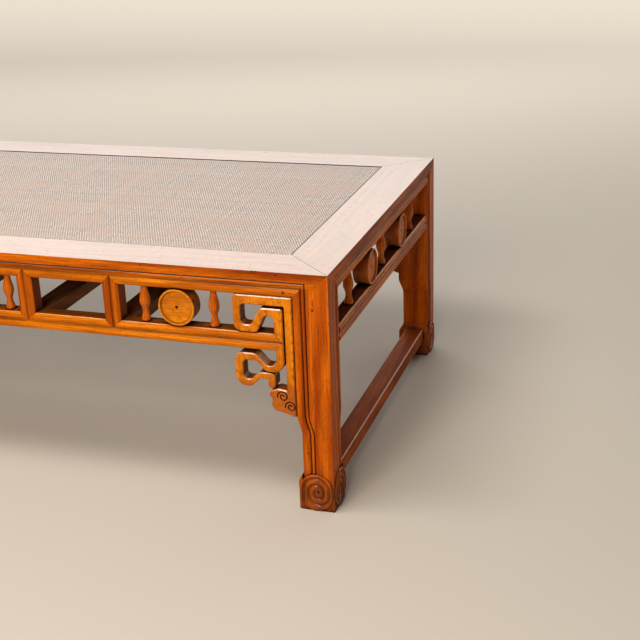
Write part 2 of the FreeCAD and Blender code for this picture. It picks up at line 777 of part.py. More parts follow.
def end_tenons(name, span, low, root):
    """The tenons at both ends of a frieze rail, back to where its full section starts."""
    corner, edges = rail_tenon(low)
    reach = f"({root} - leg_width + rail_tenon_length)"
    starts = mirrored_pair(corner[0], reach, span)
    return [box(f"{name}_tenon_{number}", (start, *corner[1:]), (reach, *edges[1:]))
            for number, start in enumerate(starts)]


def lower_section():
    """Section of the lower rail: two half-round mouldings with a groove between them."""
    low, width = S["lower_rail_bottom"], S["half_round_width"]
    high = S["cell_bottom"]
    rise = S["half_round_rise"]
    return frieze_section([(low, low + width, rise), (high - width, high, rise)], (low, high))


def make_lower_rail(name, span):
    """The lower rail of the frieze. On a long side its ends are pointed and meet the spandrels' bars."""
    bar = prism(name + "_bar", "YZ", lower_section(), "0", span)
    length = S[span]
    low, middle, high = S["lower_rail_bottom"], S["rail_groove_height"], S["cell_bottom"]
    tip = root = S["leg_width"]
    if span == "table_length":
        tip, root = S["rail_tip"], S["rail_root"]
    ends = prism(name + "_ends", "XZ", [
        (root, low), (length - root, low), (length - tip, middle),
        (length - root, high), (root, high), (tip, middle),
    ], "0", "frieze_back")
    body = shared(name + "_body", [bar, ends])
    tools = strut_tools(name, span)
    if span == "table_length":
        tools += shoulder_tools(name)
        for number, inset in enumerate(divider_insets()):
            corner, edges = cross_tenon(inset)
            tools.append(slot(f"{name}_cross_mortise_{number}", corner, edges, 1))
    cut = less(name + "_cut", body, tools)
    start = "rail_root" if span == "table_length" else "leg_width"
    return joined(name, [cut] + end_tenons(name, span, "lower_tenon_low", start))


def make_divider(name, inset):
    """A divider of the frieze: two half-rounds, pointed shoulders in front and a tenon at each end."""
    middle, half = size(inset), S["lower_rail_height"] / 2
    rise, width, edge = S["half_round_rise"], S["half_round_width"], S["moulding_edge"]
    bulge = arch(rise, width)
    section = [
        (middle - half, S["frieze_back"]),
        (middle - half, edge, bulge), (middle - half + width, edge),
        (middle + half - width, edge, bulge), (middle + half, edge),
        (middle + half, S["frieze_back"]),
    ]
    low, high = S["cell_bottom"], S["cell_top"]
    bar = prism(name + "_bar", "XY", section, "lower_rail_bottom", "shoulder_height - lower_rail_bottom")
    face = prism(name + "_face", "XZ", pointed(middle, half, low, high, half), "0", "shoulder_depth")
    back = box(name + "_back", (f"{inset} - lower_rail_height / 2", "shoulder_depth", "cell_bottom"),
               ("lower_rail_height", "frieze_back - shoulder_depth", "cell_height"))
    corner, edges = divider_tenon(inset)
    body = shared(name + "_body", [bar, joined(name + "_shape", [face, back])])
    return joined(name, [body, box(name + "_tenon", corner, edges)])


def cross_tenon(inset):
    """Corner and edges of a cross stretcher's tenon in the lower rail along the front."""
    return (
        (f"{inset} - cross_tenon_width / 2", "frieze_back - cross_tenon_length",
         "cross_stretcher_top - (cross_stretcher_height + cross_tenon_height) / 2"),
        ("cross_tenon_width", "cross_tenon_length", "cross_tenon_height"),
    )


def make_baluster(name, inset):
    """A turned baluster with a swelling belly and a round tenon at each end."""
    half = S["baluster_belly"] / 2
    marks = [Vector(share * half, height * S["cell_height"], 0) for height, share in BALUSTER_SHARES]
    curve = Part.BSplineCurve()
    curve.interpolate(marks)
    shank, reach, high = S["baluster_tenon"] / 2, S["baluster_tenon_height"], S["cell_height"]
    corners = [
        marks[-1], Vector(shank, high, 0), Vector(shank, high + reach, 0), Vector(0, high + reach, 0),
        Vector(0, -reach, 0), Vector(shank, -reach, 0), Vector(shank, 0, 0), marks[0],
    ]
    outline = doc.addObject("Sketcher::SketchObject", name + "_outline")
    outline.Placement = Placement(Vector(), PLANES["XZ"][0])
    lines = [Part.LineSegment(here, there) for here, there in zip(corners, corners[1:])]
    outline.addGeometry([curve] + lines)
    solid = doc.addObject("Part::Revolution", name)
    solid.Source = outline
    solid.Axis = (0, 0, 1)
    solid.Angle = 360
    solid.Solid = True
    rules = zip("xyz", (inset, "strut_depth", "cell_bottom"))
    return bind(solid, {f"Placement.Base.{axis}": rule for axis, rule in rules})


def make_baluster_group(name, insets):
    """Balusters that stand in a row, as one piece of separate solids."""
    group = doc.addObject("Part::Compound", name)
    group.Links = [make_baluster(f"{name}_{number}", inset) for number, inset in enumerate(insets)]
    return group


def make_drum(name, inset):
    """A drum strut: a turned disc with a rim, a sunk face and an eye on both sides, held by a square stub."""
    radius, rim, sunk = S["drum_radius"], S["drum_rim"], S["drum_recess"]
    eye, depth, length = S["drum_eye"] / 2, S["drum_recess"] + S["drum_eye_depth"], S["drum_length"]
    soft = rim / 4
    front = [
        (0, depth), (eye, depth), (eye, sunk), (radius - rim, sunk), (radius - rim, soft),
        (radius - rim + soft, 0), (radius - soft, 0), (radius, soft),
    ]
    back = [(a, length - b) for a, b in front[::-1]]
    disc = doc.addObject("Part::Revolution", name + "_disc")
    disc.Source = sketch(name + "_outline", "XY", front + back)
    disc.Axis = (0, 1, 0)
    disc.Angle = 360
    disc.Solid = True
    rules = zip("xyz", (inset, "strut_depth - drum_length / 2", "strut_height"))
    bind(disc, {f"Placement.Base.{axis}": rule for axis, rule in rules})
    corner, edges = drum_stub(inset)
    return joined(name, [disc, box(name + "_stub", corner, edges)])


def eased(name, solid, width, face):
    """Takes the arris off all the front edges of a piece whose front face lies at this depth."""
    doc.recompute()
    cut = doc.addObject("Part::Chamfer", name)
    cut.Base = solid
    cut.Edges = [(number, S[width], S[width]) for number, edge in enumerate(solid.Shape.Edges, start=1)
                 if edge.BoundBox.YMax < face + S["joint_gap"]]
    return cut


def scroll_side():
    """Outline of the upper scroll: the strip, the bar along the apron, the loop and the hook."""
    strip, low = S["strip_edge"], (S["leaf_top"] + S["leaf_tip"]) / 2
    hook, tall, top = S["hook_edge"], S["cell_height"], S["cell_top"]
    groove, soft = S["rail_groove_height"], S["spandrel_chamfer"]

    def placed(shares):
        return [(S["leg_width"] + across * S["scroll_reach"], top - down * tall, turn * tall)
                for across, down, turn in shares]

    outer, loop = placed(SCROLL_SHARES), placed(LOOP_SHARES)
    inner_side = outer[-1][0]
    return [(S["leg_width"], low), (S["leg_width"], top)] + outer + [
        (inner_side, groove), (hook, groove), (hook, loop[0][1], 2 * soft),
    ] + loop + [(strip, loop[-1][1], soft), (strip, low)]


def curl_side():
    """Outline of the lower scroll, from the lower rail's end down to its tip and back."""
    top = S["rail_groove_height"]
    drop = top - S["leaf_top"]
    round_drop = min(drop, CURL_ROUND_SHARE * S["scroll_reach"])
    corners = [(S["leg_width"] + across * S["scroll_reach"], top - down * drop, turn * round_drop)
               for across, down, turn in CURL_SHARES]
    return [(S["hook_edge"], top), (S["hook_edge"], corners[0][1], corners[0][2])] + corners[1:] + [
        (corners[-1][0], top)]


def leaf_curls(place):
    """Tools for the two curls cut in the leaf, whose front face lies at the setback of the spandrel."""
    tools = []
    for number, share in enumerate(LEAF_CURL_SHARES):
        middle, height = place(*share)
        radius, step = S["leaf_curl_radius"], S["leaf_curl_step"]
        path = spiral(middle, height, radius, step, step / 2, 3, height - step)
        profile = groove_profile(path[0][0], S["leaf_groove"], S["leaf_groove_depth"], S["spandrel_setback"])
        tools.append(moulding_tool(f"leaf_curl_{number}", path, profile, "Standard"))
    return tools


def make_spandrel():
    """The fretted corner piece: two scrolls of squared bar with a curled leaf at the foot of its strip."""
    tall = S["leaf_top"] - S["leaf_tip"]

    def place(across, up):
        return S["leg_width"] + across * S["scroll_reach"], S["leaf_tip"] + up * tall

    leaf = [(*place(across, up), turn * S["scroll_reach"]) for across, up, turn in LEAF_SHARES]
    outlines = {"scroll": rounded(scroll_side()), "curl": rounded(curl_side()), "leaf": rounded(leaf)}
    fret = joined("spandrel_fret", [
        eased(f"spandrel_{name}_eased",
              prism(f"spandrel_{name}", "XZ", outline, "spandrel_setback", "spandrel_depth"),
              "spandrel_chamfer", S["spandrel_setback"])
        for name, outline in outlines.items()
    ])
    tip, root, middle = S["rail_tip"], S["rail_root"], S["rail_groove_height"]
    mitre = prism("spandrel_mitre", "XZ", [
        (tip, middle), (root, S["lower_rail_bottom"]), (root, S["cell_bottom"]),
    ], "0", "frieze_back")
    corner, edges = rail_tenon("lower_tenon_low")
    reach = ("rail_root - leg_width + rail_tenon_length", *edges[1:])
    mortise = slot("spandrel_mortise", corner, reach, 0)
    return less("spandrel", fret, [mitre, mortise] + leaf_curls(place))


def make_low_stretcher():
    """The stretcher near the floor between the two legs of an end, with its outer top edge rounded."""
    outer = S["low_stretcher_inset"]
    inner, top = outer + S["low_stretcher_width"], S["low_stretcher_top"]
    low, soft = top - S["low_stretcher_height"], S["low_stretcher_round"]
    outline = rounded([
        (outer, low, soft / 2), (inner, low, soft / 2), (inner, top, soft / 2), (outer, top, soft),
    ])
    bar = prism("low_stretcher_bar", "XZ", outline, "leg_width", "low_stretcher_span")
    corner, edges = low_stretcher_tenon()
    reach = "low_stretcher_span + 2 * low_tenon_length"
    tongue = box("low_stretcher_tongue", corner, (edges[0], reach, edges[2]))
    return joined("low_stretcher", [bar, tongue])


def make_cross_stretcher(name, inset):
    """A plain stretcher from the front lower rail to the back one, in line with a pair of dividers."""
    middle, half, soft = size(inset), S["cross_stretcher_width"] / 2, S["cross_stretcher_round"]
    top = S["cross_stretcher_top"]
    low = top - S["cross_stretcher_height"]
    outline = rounded([(middle - half, low, soft), (middle + half, low, soft),
                       (middle + half, top, soft), (middle - half, top, soft)])
    bar = prism(name + "_bar", "XZ", outline, "frieze_back", "table_depth - 2 * frieze_back")
    corner, edges = cross_tenon(inset)
    tongue = box(name + "_tongue", corner, (edges[0], f"table_depth - 2 * ({corner[1]})", edges[2]))
    return joined(name, [bar, tongue])


def both_sides(base, front):
    """Keeps a piece made along the front and lists its mirror image along the back."""
    kept = keep(base.format("front"), front)
    listed(base.format("back"), turned_over(base.format("back"), kept, (0, 1, 0)))


def both_ends(base, piece):
    """Turns a piece made along the front on to the left end and lists its mirror image at the right end."""
    kept = keep(base.format("left"), turned_over(base.format("left"), piece, (1, -1, 0)))
    listed(base.format("right"), turned_over(base.format("right"), kept, (1, 0, 0)))


def four_corners(base, piece):
    """Keeps a piece made at the front left corner and lists its images at the other three."""
    left = keep(base.format("front_left"), piece)
    right = listed(base.format("front_right"), turned_over(base.format("front_right"), left, (1, 0, 0)))
    for name, source in (("back_left", left), ("back_right", right)):
        listed(base.format(name), turned_over(base.format(name), source, (0, 1, 0)))


def make_table():
    """Makes every piece of the table."""
    both_sides("top_rail_{}", make_top_rail("long_rail", "table_length", True))
    both_ends("top_rail_{}", make_top_rail("short_rail", "table_depth", False))
    listed("woven_mat", make_mat())
    for number in range(int(S["board_count"])):
        keep(f"panel_board_{number + 1}", make_board(number))
    for number in range(int(S["batten_count"])):
        keep(f"panel_batten_{number + 1}", make_batten(number))
    four_corners("leg_{}", make_leg())
    four_corners("spandrel_{}", make_spandrel())
    for name, maker in (("apron_rail", make_apron), ("lower_rail", make_lower_rail)):
        both_sides(name + "_{}", maker("long_" + name, "table_length"))
        both_ends(name + "_{}", maker("short_" + name, "table_depth"))
    for number, inset in enumerate(divider_insets(), start=1):
        both_sides(f"divider_{{}}_{number}", make_divider(f"divider_{number}", inset))
        keep(f"cross_stretcher_{number}", make_cross_stretcher(f"cross_{number}", inset))
    balusters, drums = strut_insets("table_length")
    for place, name in enumerate(("left", "centre", "right")):
        pair = balusters[2 * place:2 * place + 2]
        both_sides(f"balusters_{{}}_{name}", make_baluster_group(f"pair_{name}", pair))
        both_sides(f"drum_{{}}_{name}", make_drum(f"long_drum_{name}", drums[place]))
    balusters, drums = strut_insets("table_depth")
    both_ends("balusters_{}_end", make_baluster_group("end_set", balusters))
    for name, inset in zip(("front", "back"), drums):
        both_ends(f"drum_{{}}_end_{name}", make_drum(f"end_drum_{name}", inset))
    low = make_low_stretcher()
    left = keep("low_stretcher_left", low)
    listed("low_stretcher_right", turned_over("low_stretcher_right", left, (1, 0, 0)))


def check_table():
    """Stops if a feature failed or a piece isn't a sound solid."""
    failed = [thing.Name for thing in doc.Objects if {"Invalid", "Error"} & set(thing.State)]
    unsound = [label for label, solid in nodes.items() if solid.Shape.isNull() or not solid.Shape.isValid()]
    if failed or unsound:
        raise RuntimeError(f"failed features {failed}, unsound pieces {unsound}")


make_table()
doc.recompute()
check_table()
os.makedirs("parts", exist_ok=True)
for label, solid in nodes.items():
    solid.Shape.exportStep(f"parts/{label}.step")
    print(label, len(solid.Shape.Solids), round(solid.Shape.Volume))
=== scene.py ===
"""Finishes, mat and studio of a low kang table of reddish hardwood.

The joinery comes with its real shapes and sizes. This script eases the arrises of every wooden piece, gives
each its own timber and grain, weaves the mat, and sets the table in a plain studio. Lengths are metres.
"""

import logging
import math
from dataclasses import dataclass
from enum import Enum

import bmesh
import bpy
from mathutils import Euler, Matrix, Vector
from mathutils.bvhtree import BVHTree


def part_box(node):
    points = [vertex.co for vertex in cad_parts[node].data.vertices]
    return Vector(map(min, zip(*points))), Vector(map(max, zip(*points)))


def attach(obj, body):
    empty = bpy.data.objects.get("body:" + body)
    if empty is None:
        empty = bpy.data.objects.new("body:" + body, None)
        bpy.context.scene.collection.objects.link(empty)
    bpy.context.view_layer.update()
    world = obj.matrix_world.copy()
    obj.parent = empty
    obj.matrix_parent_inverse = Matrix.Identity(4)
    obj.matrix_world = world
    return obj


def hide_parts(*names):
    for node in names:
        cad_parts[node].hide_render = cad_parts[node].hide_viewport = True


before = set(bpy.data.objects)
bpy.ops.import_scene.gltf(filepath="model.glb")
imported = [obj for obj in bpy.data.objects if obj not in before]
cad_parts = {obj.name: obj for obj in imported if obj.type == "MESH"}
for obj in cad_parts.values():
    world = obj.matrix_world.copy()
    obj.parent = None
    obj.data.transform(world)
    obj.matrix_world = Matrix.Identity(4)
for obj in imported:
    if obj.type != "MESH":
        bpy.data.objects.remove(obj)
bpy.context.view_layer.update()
LOG = logging.getLogger("kang_table")
MM = 0.001
ROOT = "root"
WOOD_SHARP = math.radians(28)
MAT_SHARP = math.radians(40)
Triple = tuple[float, float, float]


class Grain(Enum):
    """Way that the fibres of a piece run, as the turn that brings it on to X."""

    LENGTH = (0.0, 0.0, 0.0)
    DEPTH = (0.0, 0.0, -math.pi / 2)
    HEIGHT = (0.0, math.pi / 2, 0.0)


class Tint(Enum):
    """Colours that all the timbers share, in linear red, green and blue."""

    # Pale colour laid on faces that look up: a painted glare.
    GLARE_PALE = (0.53, 0.39, 0.29)
    SHADED = (0.34, 0.075, 0.014)
    # Pale colour laid on arrises: partly wear, partly a painted highlight.
    BARE_AND_HIGHLIGHT = (0.82, 0.44, 0.27)
    # Dark colour laid on faces that look sideways: painted shade.
    EDGE = (0.060, 0.018, 0.006)
    # Dark colour laid on flat faces that look up: painted shade, partly grime.
    LEDGE = (0.030, 0.010, 0.004)
    MITRE = (0.060, 0.028, 0.016)
    # Dark colour laid low on the pieces: darker towards the floor.
    NEAR_FLOOR_DARK = (0.055, 0.026, 0.014)
    # Dark colour in joints and corners: dark joint lines and painted shade.
    GRIME_AND_SHADE = (0.010, 0.004, 0.002)


class Graph:
    """Nodes of one shader tree, added and linked in one go."""

    def __init__(self, tree: bpy.types.NodeTree) -> None:
        """Starts on an empty tree.

        Args:
            tree: tree of a material or of a node group.
        """
        self.tree = tree
        tree.nodes.clear()

    def add(self, kind: str, sockets: dict | None = None, **settings: object) -> bpy.types.Node:
        """Adds a node.

        Args:
            kind: type of the node, without the ShaderNode at its start.
            sockets: value or source of each named or numbered input.
            settings: properties of the node.

        Returns:
            The node.
        """
        node = self.tree.nodes.new(kind if kind.startswith("Node") else "ShaderNode" + kind)
        for name, value in settings.items():
            setattr(node, name, value)
        for name, value in (sockets or {}).items():
            self.feed(node.inputs[name], value)
        return node

    def feed(self, socket: bpy.types.NodeSocket, value: object) -> None:
        """Links a source into a socket, or sets the socket's own value.

        Args:
            socket: input of a node.
            value: another node's output, a number, or a triple, which may be a place or an opaque colour.
        """
        if isinstance(value, bpy.types.NodeSocket):
            self.tree.links.new(value, socket)
        elif socket.type == "RGBA":
            socket.default_value = (*value, 1.0)
        else:
            socket.default_value = value

    def math(self, operation: str, *values: object, clamp: bool = False) -> bpy.types.NodeSocket:
        """Result of a Math node on one to three values."""
        node = self.add("Math", dict(enumerate(values)), operation=operation, use_clamp=clamp)
        return node.outputs[0]

    def vector(self, operation: str, *values: object) -> bpy.types.NodeSocket:
        """Vector result of a Vector Math node."""
        return self.add("VectorMath", dict(enumerate(values)), operation=operation).outputs[0]

    def axes(self, vector: object) -> bpy.types.NodeOutputs:
        """Parts of a vector along X, Y and Z."""
        return self.add("SeparateXYZ", {0: vector}).outputs

    def noise(
        self, place: object, scale: float, detail: float = 3.0, rough: float = 0.55,
    ) -> bpy.types.NodeSocket:
        """Smooth noise from 0 to 1 over a place."""
        sockets = {"Vector": place, "Scale": scale, "Detail": detail, "Roughness": rough}
        return self.add("TexNoise", sockets).outputs[0]

    def ramp(
        self, value: object, low: float, high: float, start: float = 0.0, end: float = 1.0,
    ) -> bpy.types.NodeSocket:
        """Value spread smoothly from the span low to high on to the span start to end."""
        sockets = {"Value": value, "From Min": low, "From Max": high, "To Min": start, "To Max": end}
        return self.add("MapRange", sockets, interpolation_type="SMOOTHSTEP").outputs[0]

    def blend(self, factor: object, first: object, second: object, mode: str = "MIX") -> bpy.types.NodeSocket:
        """Mixes two colours by a factor.

        Args:
            factor: share of the second colour.
            first: colour at a factor of 0.
            second: colour at a factor of 1.
            mode: way of mixing, by its name in the Mix node.

        Returns:
            The mixed colour.
        """
        node = self.add("Mix", data_type="RGBA", blend_type=mode)
        for number, value in ((0, factor), (6, first), (7, second)):
            self.feed(node.inputs[number], value)
        return node.outputs[2]

    def darken(self, colour: object, amount: object) -> bpy.types.NodeSocket:
        """Multiplies a colour by an amount, which may be above 1."""
        grey = self.add("CombineXYZ", {0: amount, 1: amount, 2: amount}).outputs[0]
        return self.blend(1.0, colour, grey, "MULTIPLY")


def node_group(name: str, inputs: dict[str, object], outputs: dict[str, str]) -> tuple[bpy.types.NodeTree, Graph]:
    """Starts a shader node group.

    Args:
        name: name of the group.
        inputs: default of each input: a number, or None for a vector.
        outputs: kind of each output, Float or Vector.

    Returns:
        The group's tree and the graph to draw it with.
    """
    tree = bpy.data.node_groups.new(name, "ShaderNodeTree")
    for label, default in inputs.items():
        kind = "Vector" if default is None else "Float"
        socket = tree.interface.new_socket(name=label, in_out="INPUT", socket_type="NodeSocket" + kind)
        if default is not None:
            socket.default_value = default
    for label, kind in outputs.items():
        tree.interface.new_socket(name=label, in_out="OUTPUT", socket_type="NodeSocket" + kind)
    return tree, Graph(tree)


@dataclass(frozen=True)
class GrainScale:
    """How closely the marks of the grain lie, per metre along the fibres and in the two ways across them."""

    sway: Triple = (1.4, 11.0, 11.0)
    patches: Triple = (3.0, 24.0, 24.0)
    fibre: Triple = (14.0, 420.0, 420.0)
    pores: Triple = (70.0, 1500.0, 1500.0)
    rings_wide: float = 95.0
    rings_deep: float = 60.0
    ring_sway: float = 17.0
    ring_turn: float = 1.9


def make_grain_group() -> bpy.types.NodeTree:
    """Timber grain: growth figure, fibre streaks, pores and their relief, with X along the fibres.

    Returns:
        The node group.
    """
    tree, graph = node_group(
        "timber_grain",
        {"Place": None, "Figure Size": 1.0, "Swirl": 0.5},
        {"Figure": "Float", "Fibre": "Float", "Pores": "Float", "Relief": "Float"},
    )
    scale = GrainScale()
    source = graph.add("NodeGroupInput").outputs
    place = source["Place"]
    sway = graph.noise(graph.vector("MULTIPLY", place, scale.sway), 1.0, 2.0)
    across = graph.axes(place)
    wide = graph.math("MULTIPLY", across[1], scale.rings_wide)
    radial = graph.math("ADD", wide, graph.math("MULTIPLY", across[2], scale.rings_deep))
    sized = graph.math("MULTIPLY", radial, source["Figure Size"])
    bent = graph.math("ADD", sized, graph.math("MULTIPLY", sway, scale.ring_sway))
    bands = graph.math("SINE", graph.math("MULTIPLY", bent, scale.ring_turn))
    figure = graph.math("MULTIPLY", graph.math("MULTIPLY_ADD", bands, 0.5, 0.5), source["Swirl"])
    patches = graph.noise(graph.vector("MULTIPLY", place, scale.patches), 1.0, 4.0)
    figure = graph.math("ADD", figure, graph.math("MULTIPLY", patches, 0.8), clamp=True)
    fibre = graph.noise(graph.vector("MULTIPLY", place, scale.fibre), 1.0, 3.0, 0.65)
    pores = graph.noise(graph.vector("MULTIPLY", place, scale.pores), 1.0, 1.0)
    pores = graph.ramp(pores, 0.60, 0.72)
    relief = graph.math("SUBTRACT", graph.math("MULTIPLY", fibre, 0.4), pores)
    graph.add("NodeGroupOutput", {"Figure": figure, "Fibre": fibre, "Pores": pores, "Relief": relief})
    return tree


# Place and radius of each old mark that the photograph shows: a knot, nicks and small dents
OLD_MARKS = (
    ((0.7046, -0.425, 0.4122), 3.4 * MM), ((0.4520, -0.425, 0.4555), 2.4 * MM),
    ((0.5106, -0.425, 0.4491), 2.6 * MM), ((0.5926, -0.425, 0.4784), 3.0 * MM),
    ((0.5993, -0.425, 0.4788), 2.4 * MM), ((0.6380, -0.425, 0.4746), 2.6 * MM),
    ((0.2785, -0.425, 0.3380), 2.4 * MM), ((0.2903, -0.425, 0.3380), 2.2 * MM),
    ((0.3032, -0.425, 0.3380), 2.4 * MM), ((0.6571, 0.0314, 0.4800), 2.6 * MM),
    ((0.1621, -0.3972, 0.4800), 2.6 * MM), ((0.2138, -0.425, 0.4614), 2.6 * MM),
    ((0.3706, -0.425, 0.4751), 2.4 * MM), ((0.6498, -0.425, 0.4415), 4.5 * MM),
    ((0.7350, 0.351, 0.4686), 3.0 * MM), ((0.7350, -0.3297, 0.4680), 2.6 * MM),
)


@dataclass(frozen=True)
class WearScale:
    """How closely the marks of use lie, per metre, and how high the darkening near the floor reaches, in metres.
    """

    rubbed: float = 38.0
    spots: float = 62.0
    chips: float = 150.0
    scuffs: float = 9.0
    mottle: float = 85.0
    darkening_height: float = 0.11


def make_wear_group() -> bpy.types.NodeTree:
    """Marks of use: rubbed patches along eased arrises and upward slants, partly a painted highlight, scuffs,
    dark dents, mottling and a darkening near the floor.

    Returns:
        The node group.
    """
    tree, graph = node_group(
        "marks_of_use",
        {"Place": None, "Arris": 0.0, "Rubbing": 0.5},
        {name: "Float" for name in ("Rubbed", "Dents", "Scuffs", "Mottle", "Marks", "Near Floor")},
    )
    scale = WearScale()
    source = graph.add("NodeGroupInput").outputs
    place, arris = source["Place"], source["Arris"]
    patchy = graph.ramp(graph.noise(place, scale.rubbed, 4.0, 0.6), 0.42, 0.62)
    # The arris input holds upward slants too, so these pale patches are partly a painted highlight.
    rubbed = graph.math("MULTIPLY", graph.math("MULTIPLY", arris, patchy), source["Rubbing"])
    spots = graph.ramp(graph.noise(place, scale.spots, 2.0, 0.5), 0.75, 0.80)
    chips = graph.ramp(graph.noise(place, scale.chips, 2.0, 0.5), 0.64, 0.72)
    dents = graph.math("MAXIMUM", spots, graph.math("MULTIPLY", chips, arris))
    scuffs = graph.noise(place, scale.scuffs, 5.0, 0.6)
    mottle = graph.ramp(graph.noise(place, scale.mottle, 5.0, 0.7), 0.48, 0.66)
    marks = 0.0
    for spot, size in OLD_MARKS:
        away = graph.add("VectorMath", {0: place, 1: spot}, operation="DISTANCE").outputs["Value"]
        marks = graph.math("MAXIMUM", marks, graph.ramp(away, 0.4 * size, size, 0.9, 0.0))
    # Darker towards the floor, in scuffed patches.
    low = graph.ramp(graph.axes(place)[2], 0.0, scale.darkening_height, 0.85, 0.0)
    near_floor = graph.math("MULTIPLY", low, graph.ramp(scuffs, 0.3, 0.7, 0.35, 1.0))
    graph.add("NodeGroupOutput", {
        "Rubbed": rubbed, "Dents": dents, "Scuffs": scuffs, "Mottle": mottle, "Marks": marks, "Near Floor": near_floor,
    })
    return tree


@dataclass(frozen=True)
class Surface:
    """What a timber's material knows of each point of a piece, as outputs of its nodes."""

    place: bpy.types.NodeSocket
    normal: bpy.types.NodeOutputs
    upward: bpy.types.NodeSocket
    arris: bpy.types.NodeSocket
    grain: bpy.types.NodeOutputs
    wear: bpy.types.NodeOutputs


@dataclass(frozen=True)
class Timber:
    """One waxed timber: its colours and how it is finished, as shares from 0 to 1 unless said.

    Attributes:
        name: name of the material.
        grain: way of the fibres.
        pale: colour of the early wood, linear.
        deep: colour of the late wood, linear.
        gloss: roughness of the bare wood.
        shine: level of the wood's own reflection.
        wax: weight of the wax coat.
        burnish: weight that the coat gains on rubbed arrises.
        polish: weight that the coat gains on faces that look up.
        painted_glare: paling of faces that look up, a painted glare.
        figure_size: closeness of the growth rings, 1 for the usual one.
        swirl: strength of the growth rings.
        streaks: brightness of the darkest fibres.
        rubbing: share of the arrises that is rubbed pale.
        bare_and_highlight: paling of all the arrises, partly wear and partly a painted highlight.
        slant_highlight: how far faces that slant upward count as arrises, which paints a highlight on them and
            waxes them more.
        mottle: strength of the dark mottling.
        face_axis: axis that the broad faces look along, if any.
        painted_side_shade: painted shade that darkens faces which look away from that axis.
        ledge_shade_amount: darkening of narrow ledges that look up, painted shade and partly grime.
        shade_below: height in metres below which the wood is redder, if any.
        mitre: how much longer than wide the top is from the middle to its corner, in metres, if it is mitred.
        grime_and_shade: strength of the dark lines in joints and of the painted shade in corners.
        joint_reach: width in metres of the dark line in a joint.
        shade_reach: width in metres of the painted shade in a corner.
    """

    name: str
    grain: Grain
    pale: Triple
    deep: Triple
    gloss: float = 0.3
    shine: float = 0.03
    wax: float = 0.04
    burnish: float = 0.5
    polish: float = 0.0
    painted_glare: float = 0.0
    figure_size: float = 1.0
    swirl: float = 0.45
    streaks: float = 0.62
    rubbing: float = 0.6
    bare_and_highlight: float = 0.1
    slant_highlight: float = 0.0
    mottle: float = 0.15
    face_axis: int | None = None
    painted_side_shade: float = 0.0
    ledge_shade_amount: float = 0.0
    shade_below: float | None = None
    mitre: float | None = None
    grime_and_shade: float = 0.95
    joint_reach: float = 5 * MM
    shade_reach: float = 16 * MM

    def material(self, groups: dict[str, bpy.types.NodeTree]) -> bpy.types.Material:
        """Builds the timber's material.

        Args:
            groups: shared node groups by name.

        Returns:
            The material.
        """
        material = bpy.data.materials.new(self.name)
        material.use_nodes = True
        graph = Graph(material.node_tree)
        surface = self.surface(graph, groups)
        # Flat faces that look up are darkened: painted shade, partly grime.
        ledge = graph.ramp(surface.normal[2], 0.93, 0.99, 0.0, self.ledge_shade_amount)
        colour = self.wood(graph, surface)
        colour = self.aged(graph, surface, colour, ledge)
        colour = self.worn(graph, surface, colour)
        grime_and_shade = self.joint_and_shade_mask(graph)
        # Joints and corners are darkened: dark joint lines and painted shade.
        colour = graph.blend(grime_and_shade, colour, Tint.GRIME_AND_SHADE.value)
        rough = graph.math("MULTIPLY_ADD", surface.wear["Scuffs"], 0.22, self.gloss - 0.08)
        rough = graph.math("MULTIPLY_ADD", grime_and_shade, 0.3, rough)
        relief = surface.grain["Relief"]
        bump = graph.add("Bump", {"Height": relief, "Strength": 0.35, "Distance": 0.12 * MM}).outputs[0]
        shader = graph.add("BsdfPrincipled", {"Base Color": colour, "Roughness": rough, "Normal": bump})
        waxed = graph.math("MULTIPLY_ADD", surface.upward, self.polish, self.wax)
        waxed = graph.math("MULTIPLY_ADD", surface.arris, self.burnish, waxed, clamp=True)
        clean = graph.math("SUBTRACT", 1.0, graph.math("MAXIMUM", grime_and_shade, ledge))
        graph.feed(shader.inputs["Coat Weight"], graph.math("MULTIPLY", waxed, clean))
        shader.inputs["Coat Roughness"].default_value = 0.2
        shader.inputs["Coat IOR"].default_value = 1.7
        shader.inputs["IOR"].default_value = 1.5
        shader.inputs["Specular IOR Level"].default_value = self.shine
        graph.add("OutputMaterial", {"Surface": shader.outputs[0]})
        return material

    def surface(self, graph: Graph, groups: dict[str, bpy.types.NodeTree]) -> Surface:
        """Reads the place and the way of the surface, and feeds them to the groups of grain and wear.

        Args:
            graph: graph of the material.
            groups: shared node groups by name.

        Returns:
            The surface.
        """
        place = graph.add("TexCoord").outputs["Object"]
        turned = graph.add("Mapping", {"Vector": place, "Rotation": self.grain.value}).outputs[0]
        grain = graph.add("Group", node_tree=groups["grain"])
        graph.feed(grain.inputs["Place"], turned)
        grain.inputs["Figure Size"].default_value = self.figure_size
        grain.inputs["Swirl"].default_value = self.swirl
        normal = graph.axes(graph.add("TexCoord").outputs["Normal"])
        sideways = graph.math("MAXIMUM", graph.math("ABSOLUTE", normal[0]), graph.math("ABSOLUTE", normal[1]))
        # Faces that slant upward count as arrises: a painted highlight in their colour.
        upward_slant_highlight = graph.ramp(graph.math("MULTIPLY", normal[2], sideways), 0.28, 0.42, 0.0, self.slant_highlight)
        arris = graph.math("MAXIMUM", graph.add("Attribute", attribute_name="arris").outputs["Fac"], upward_slant_highlight)
        wear = graph.add("Group", node_tree=groups["wear"])
        graph.feed(wear.inputs["Place"], place)
        graph.feed(wear.inputs["Arris"], arris)
        wear.inputs["Rubbing"].default_value = self.rubbing
        upward = graph.ramp(normal[2], 0.35, 0.8)
        return Surface(place, normal, upward, arris, grain.outputs, wear.outputs)

